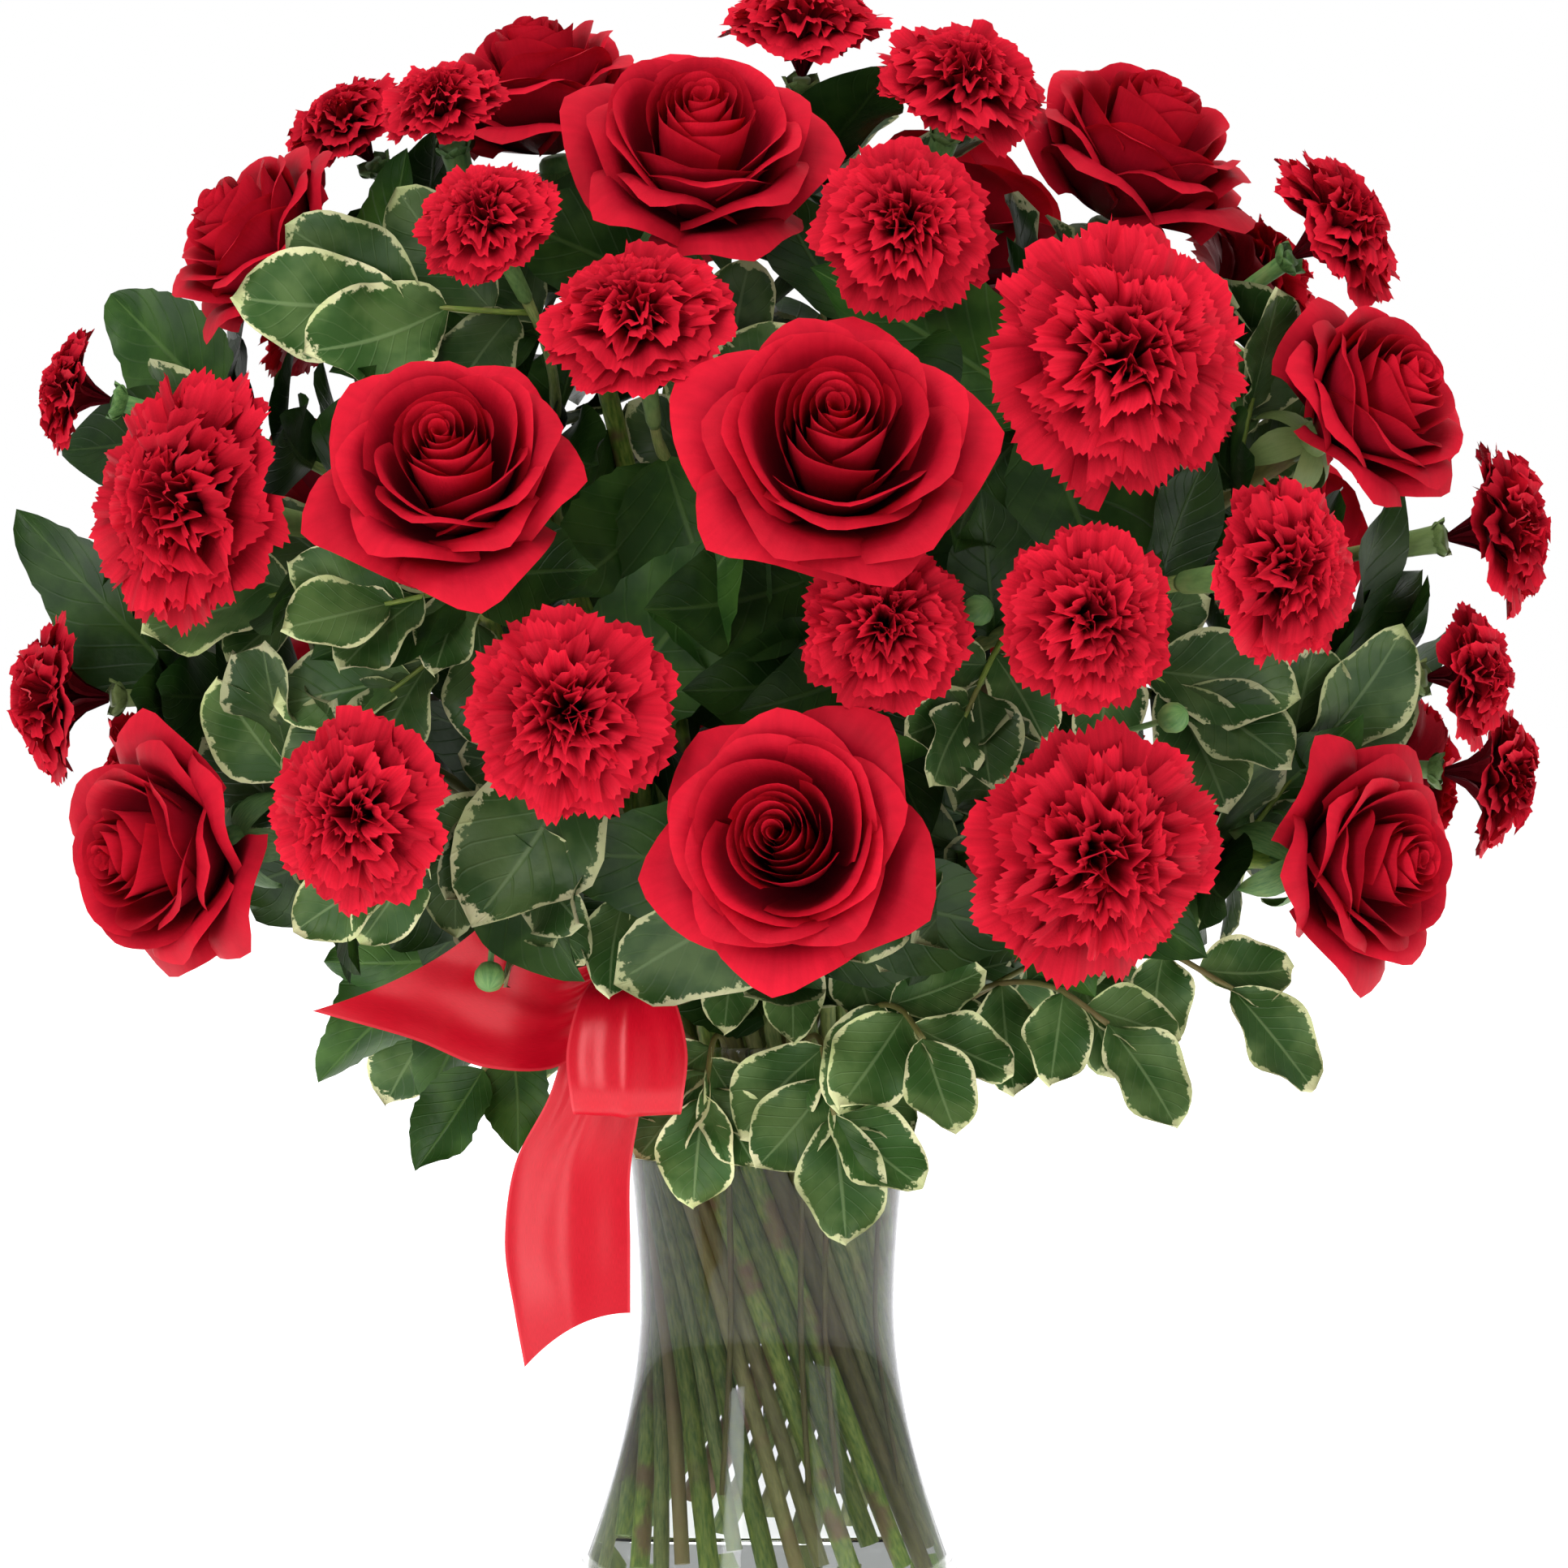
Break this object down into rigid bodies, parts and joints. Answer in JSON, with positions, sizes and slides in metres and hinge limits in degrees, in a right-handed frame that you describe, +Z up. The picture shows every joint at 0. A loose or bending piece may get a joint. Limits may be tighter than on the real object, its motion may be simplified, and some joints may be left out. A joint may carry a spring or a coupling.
{
  "type": "vase of cut flowers",
  "caption": "Dome bouquet of red roses and carnations with variegated foliage and a satin bow, in a clear flared glass vase with water.",
  "frame": {"origin": "centre of the vase's flat underside", "axes": "+Z up along the vase, -Y towards the viewer of the bouquet's front, +X to that viewer's right"},
  "size_m": [0.4648, 0.3558, 0.4987],
  "materials": {
    "clear_glass": "clear, smooth",
    "clear_water": "clear water with a flat surface",
    "rose_petal": "velvety deep red petals",
    "carnation_petal": "matt bright red ruffled petals",
    "stem_green": "green stems and leaves",
    "plain_leaf": "dark green, slightly glossy leaves",
    "variegated_leaf": "green leaves with a cream edge",
    "satin_ribbon": "bright red satin",
    "pick_wood": "bare wood"
  },
  "bodies": {
    "root": {"bow_pick": "pick_wood", "carnation_01": "carnation_petal", "carnation_02": "carnation_petal", "carnation_03": "carnation_petal", "carnation_04": "carnation_petal", "carnation_05": "carnation_petal", "carnation_06": "carnation_petal", "carnation_07": "carnation_petal", "carnation_08": "carnation_petal", "carnation_09": "carnation_petal", "carnation_10": "carnation_petal", "carnation_11": "carnation_petal", "carnation_12": "carnation_petal", "carnation_13": "carnation_petal", "carnation_14": "carnation_petal", "carnation_15": "carnation_petal", "carnation_16": "carnation_petal", "carnation_17": "carnation_petal", "carnation_18": "carnation_petal", "carnation_19": "carnation_petal", "carnation_20": "carnation_petal", "carnation_21": "carnation_petal", "carnation_22": "carnation_petal", "carnation_23": "carnation_petal", "carnation_24": "carnation_petal", "carnation_25": "carnation_petal", "carnation_26": "carnation_petal", "carnation_27": "carnation_petal", "carnation_28": "carnation_petal", "carnation_29": "carnation_petal", "carnation_30": "carnation_petal", "ribbon_bow": "satin_ribbon", "rose_01": "rose_petal", "rose_02": "rose_petal", "rose_03": "rose_petal", "rose_04": "rose_petal", "rose_05": "rose_petal", "rose_06": "rose_petal", "rose_07": "rose_petal", "rose_08": "rose_petal", "rose_09": "rose_petal", "rose_10": "rose_petal", "rose_11": "rose_petal", "rose_12": "rose_petal", "rose_13": "rose_petal", "rose_14": "rose_petal", "rose_15": "rose_petal", "sprig_01": "plain_leaf", "sprig_02": "plain_leaf", "sprig_03": "variegated_leaf", "sprig_04": "variegated_leaf", "sprig_05": "variegated_leaf", "sprig_06": "variegated_leaf", "sprig_07": "variegated_leaf", "sprig_08": "variegated_leaf", "sprig_09": "variegated_leaf", "sprig_10": "variegated_leaf", "stems": "stem_green", "vase": "clear_glass", "water": "clear_water"}
  },
  "joints": []
}
